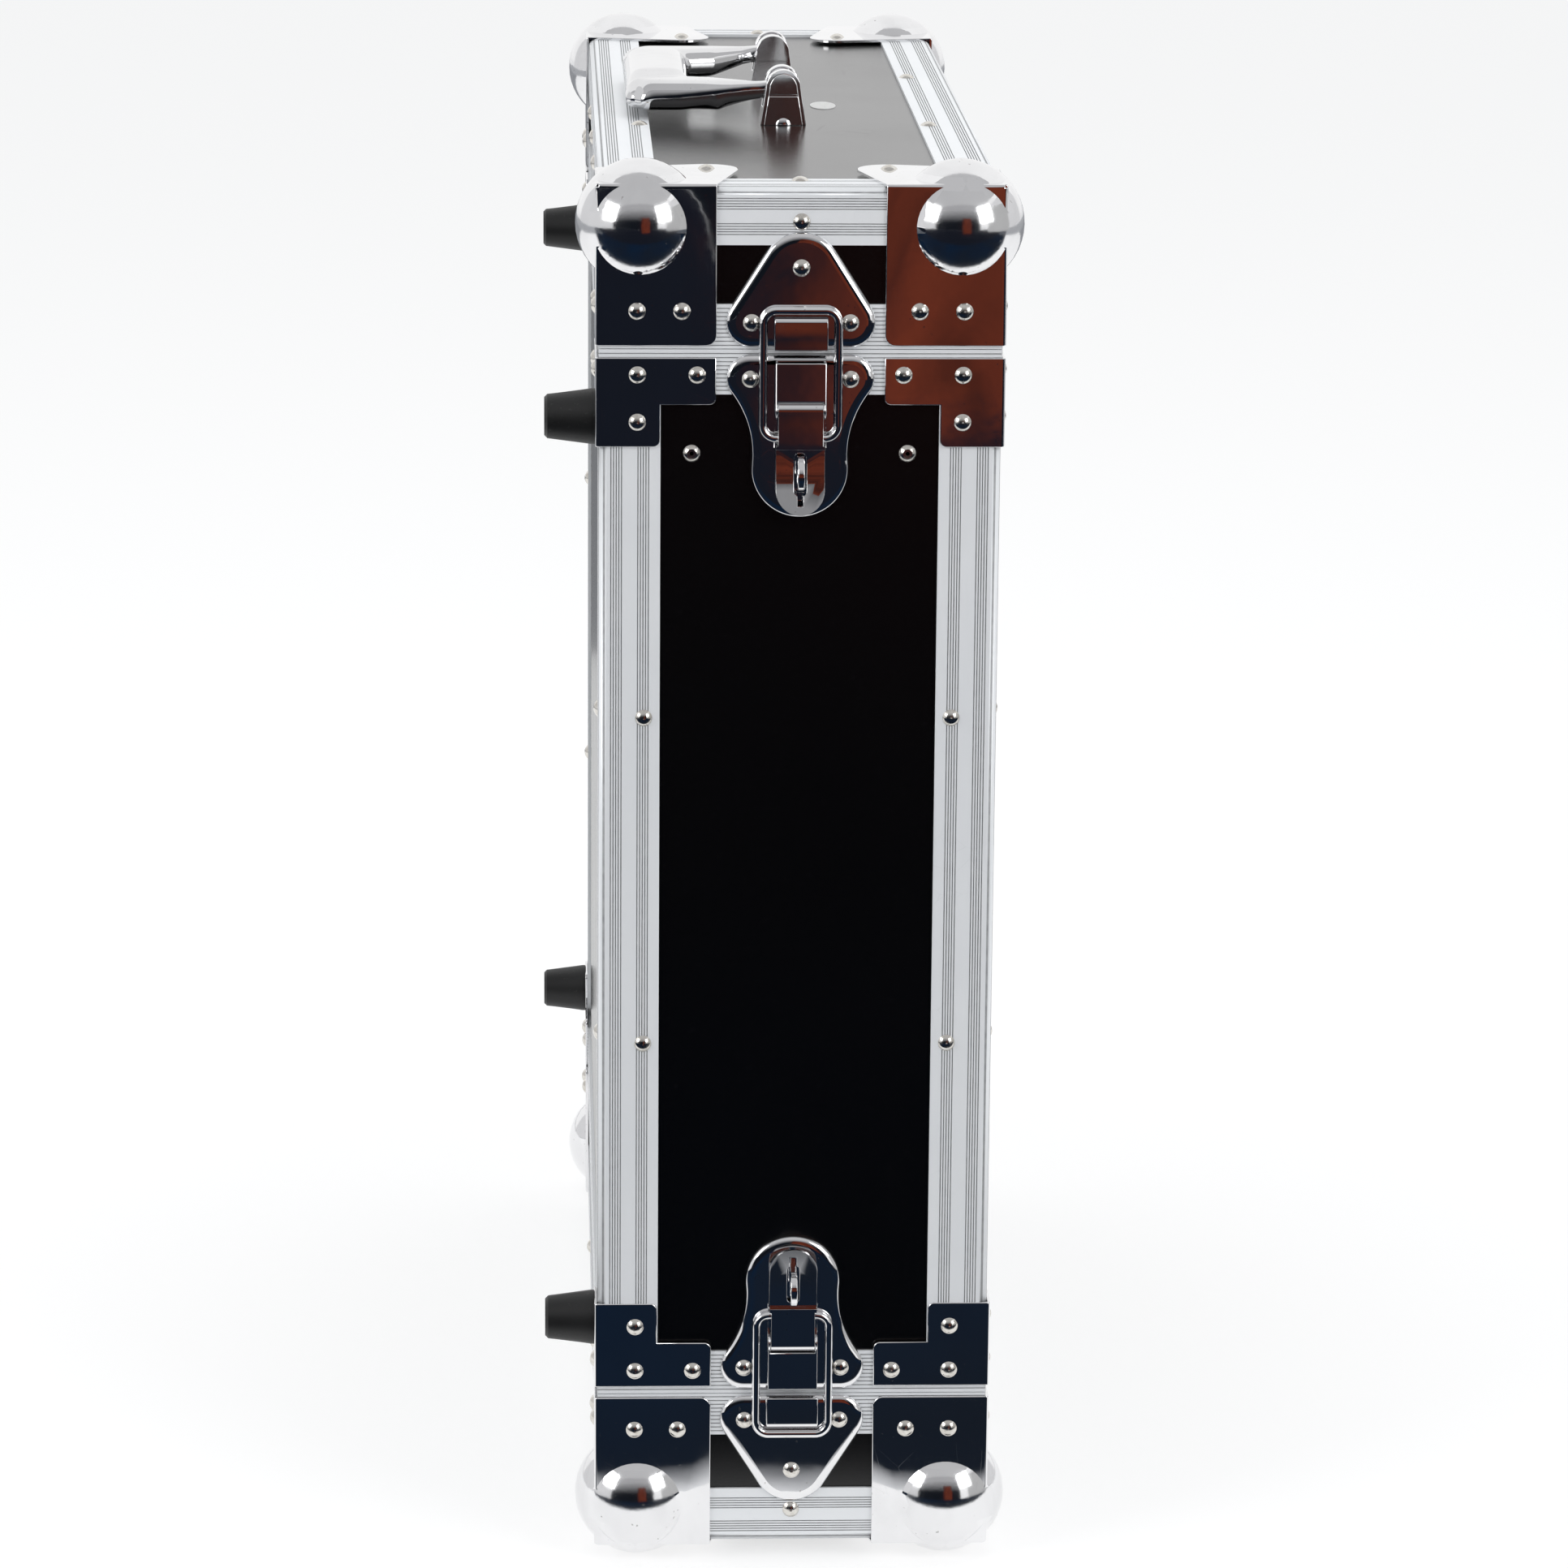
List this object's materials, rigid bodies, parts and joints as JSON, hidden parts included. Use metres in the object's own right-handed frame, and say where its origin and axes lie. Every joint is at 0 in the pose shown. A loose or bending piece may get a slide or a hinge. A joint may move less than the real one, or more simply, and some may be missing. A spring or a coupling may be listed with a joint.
{
  "type": "rack case",
  "caption": "Shallow flight case for rack equipment: edged plywood body with a lift-off lid at each end, held by drawbolt latches, and a folding handle.",
  "frame": {"origin": "centre of the box round the whole case, at its base, where it stands on the rear lid's ball corners", "axes": "+Z along the case from the rear lid to the front lid, +X from the rubber feet to the top panel, Y across the width of the case"},
  "size_m": [0.1797, 0.539, 0.5613],
  "materials": {
    "laminated_plywood": "black laminate with a fine grain over plywood",
    "aluminium_extrusion": "satin, with fine drawn lines",
    "chromed_steel": "bright plated pressed steel",
    "handle_chrome": "bright plated casting",
    "nickel_rivet": "nickel plated",
    "steel_pin": "plain steel",
    "black_steel": "black passivated",
    "rubber": "matt moulded",
    "foam": "open-cell grey foam"
  },
  "bodies": {
    "case": {"side_panel_near": "laminated_plywood", "side_panel_far": "laminated_plywood", "bottom_panel": "laminated_plywood", "top_panel": "laminated_plywood", "edge_angle_bottom_near": "aluminium_extrusion", "edge_angle_bottom_far": "aluminium_extrusion", "edge_angle_top_near": "aluminium_extrusion", "edge_angle_top_far": "aluminium_extrusion", "front_seam_frame": "aluminium_extrusion", "rear_seam_frame": "aluminium_extrusion", "front_corner_brackets": "chromed_steel", "rear_corner_brackets": "chromed_steel", "rack_rail_near": "black_steel", "rack_rail_far": "black_steel", "rail_rivets": "nickel_rivet", "body_rivets": "nickel_rivet", "rubber_feet": "rubber", "foot_screws": "steel_pin", "latch_base_front_near": "chromed_steel", "latch_base_front_far": "chromed_steel", "latch_base_rear_near": "chromed_steel", "latch_base_rear_far": "chromed_steel", "latch_pins": "steel_pin"},
    "front_lid": {"front_lid_face": "laminated_plywood", "front_lid_wall_near": "laminated_plywood", "front_lid_wall_far": "laminated_plywood", "front_lid_wall_bottom": "laminated_plywood", "front_lid_wall_top": "laminated_plywood", "front_lid_edges": "aluminium_extrusion", "front_lid_seam_frame": "aluminium_extrusion", "front_lid_foam": "foam", "front_lid_rivets": "nickel_rivet", "front_ball_corners": "chromed_steel", "keeper_front_near": "chromed_steel", "keeper_front_far": "chromed_steel", "handle_bracket_near": "chromed_steel", "handle_bracket_far": "chromed_steel", "handle_pins": "steel_pin"},
    "rear_lid": {"rear_lid_face": "laminated_plywood", "rear_lid_wall_near": "laminated_plywood", "rear_lid_wall_far": "laminated_plywood", "rear_lid_wall_bottom": "laminated_plywood", "rear_lid_wall_top": "laminated_plywood", "rear_lid_edges": "aluminium_extrusion", "rear_lid_seam_frame": "aluminium_extrusion", "rear_lid_foam": "foam", "rear_lid_rivets": "nickel_rivet", "rear_ball_corners": "chromed_steel", "keeper_rear_near": "chromed_steel", "keeper_rear_far": "chromed_steel"},
    "handle": {"handle_bail": "handle_chrome"},
    "lever_front_near": {"latch_lever_front_near": "chromed_steel"},
    "ring_front_near": {"latch_ring_front_near": "chromed_steel"},
    "lever_front_far": {"latch_lever_front_far": "chromed_steel"},
    "ring_front_far": {"latch_ring_front_far": "chromed_steel"},
    "lever_rear_near": {"latch_lever_rear_near": "chromed_steel"},
    "ring_rear_near": {"latch_ring_rear_near": "chromed_steel"},
    "lever_rear_far": {"latch_lever_rear_far": "chromed_steel"},
    "ring_rear_far": {"latch_ring_rear_far": "chromed_steel"}
  },
  "joints": [
    {"name": "front_lid_lift", "type": "slide", "parent": "case", "child": "front_lid", "axis": [0, 0, 1], "range_m": [0, 0.04]},
    {"name": "rear_lid_lift", "type": "slide", "parent": "case", "child": "rear_lid", "axis": [0, 0, -1], "range_m": [0, 0.04]},
    {"name": "handle_swing", "type": "hinge", "parent": "front_lid", "child": "handle", "pos_m": [0.0058, 0, 0.5544], "axis": [0, 1, 0], "range_deg": [0, 190]},
    {"name": "lever_front_near_hinge", "type": "hinge", "parent": "case", "child": "lever_front_near", "pos_m": [0.0058, -0.2575, 0.4574], "axis": [-1, 0, 0], "range_deg": [0, 90]},
    {"name": "ring_front_near_hinge", "type": "hinge", "parent": "lever_front_near", "child": "ring_front_near", "pos_m": [0.0058, -0.2566, 0.4467], "axis": [1, 0, 0], "range_deg": [0, 215]},
    {"name": "lever_front_far_hinge", "type": "hinge", "parent": "case", "child": "lever_front_far", "pos_m": [0.0058, 0.2575, 0.4574], "axis": [1, 0, 0], "range_deg": [0, 90]},
    {"name": "ring_front_far_hinge", "type": "hinge", "parent": "lever_front_far", "child": "ring_front_far", "pos_m": [0.0058, 0.2566, 0.4467], "axis": [-1, 0, 0], "range_deg": [0, 215]},
    {"name": "lever_rear_near_hinge", "type": "hinge", "parent": "case", "child": "lever_rear_near", "pos_m": [0.0058, -0.2575, 0.0918], "axis": [1, 0, 0], "range_deg": [0, 90]},
    {"name": "ring_rear_near_hinge", "type": "hinge", "parent": "lever_rear_near", "child": "ring_rear_near", "pos_m": [0.0058, -0.2566, 0.1025], "axis": [-1, 0, 0], "range_deg": [0, 215]},
    {"name": "lever_rear_far_hinge", "type": "hinge", "parent": "case", "child": "lever_rear_far", "pos_m": [0.0058, 0.2575, 0.0918], "axis": [-1, 0, 0], "range_deg": [0, 90]},
    {"name": "ring_rear_far_hinge", "type": "hinge", "parent": "lever_rear_far", "child": "ring_rear_far", "pos_m": [0.0058, 0.2566, 0.1025], "axis": [1, 0, 0], "range_deg": [0, 215]}
  ],
  "couplings": [
    {"joint": "lever_front_near_hinge", "follows": "front_lid_lift", "rad_per_m": 39.26},
    {"joint": "ring_front_near_hinge", "follows": "front_lid_lift", "rad_per_m": 93.78},
    {"joint": "lever_front_far_hinge", "follows": "front_lid_lift", "rad_per_m": 39.26},
    {"joint": "ring_front_far_hinge", "follows": "front_lid_lift", "rad_per_m": 93.78},
    {"joint": "lever_rear_near_hinge", "follows": "rear_lid_lift", "rad_per_m": 39.26},
    {"joint": "ring_rear_near_hinge", "follows": "rear_lid_lift", "rad_per_m": 93.78},
    {"joint": "lever_rear_far_hinge", "follows": "rear_lid_lift", "rad_per_m": 39.26},
    {"joint": "ring_rear_far_hinge", "follows": "rear_lid_lift", "rad_per_m": 93.78}
  ]
}
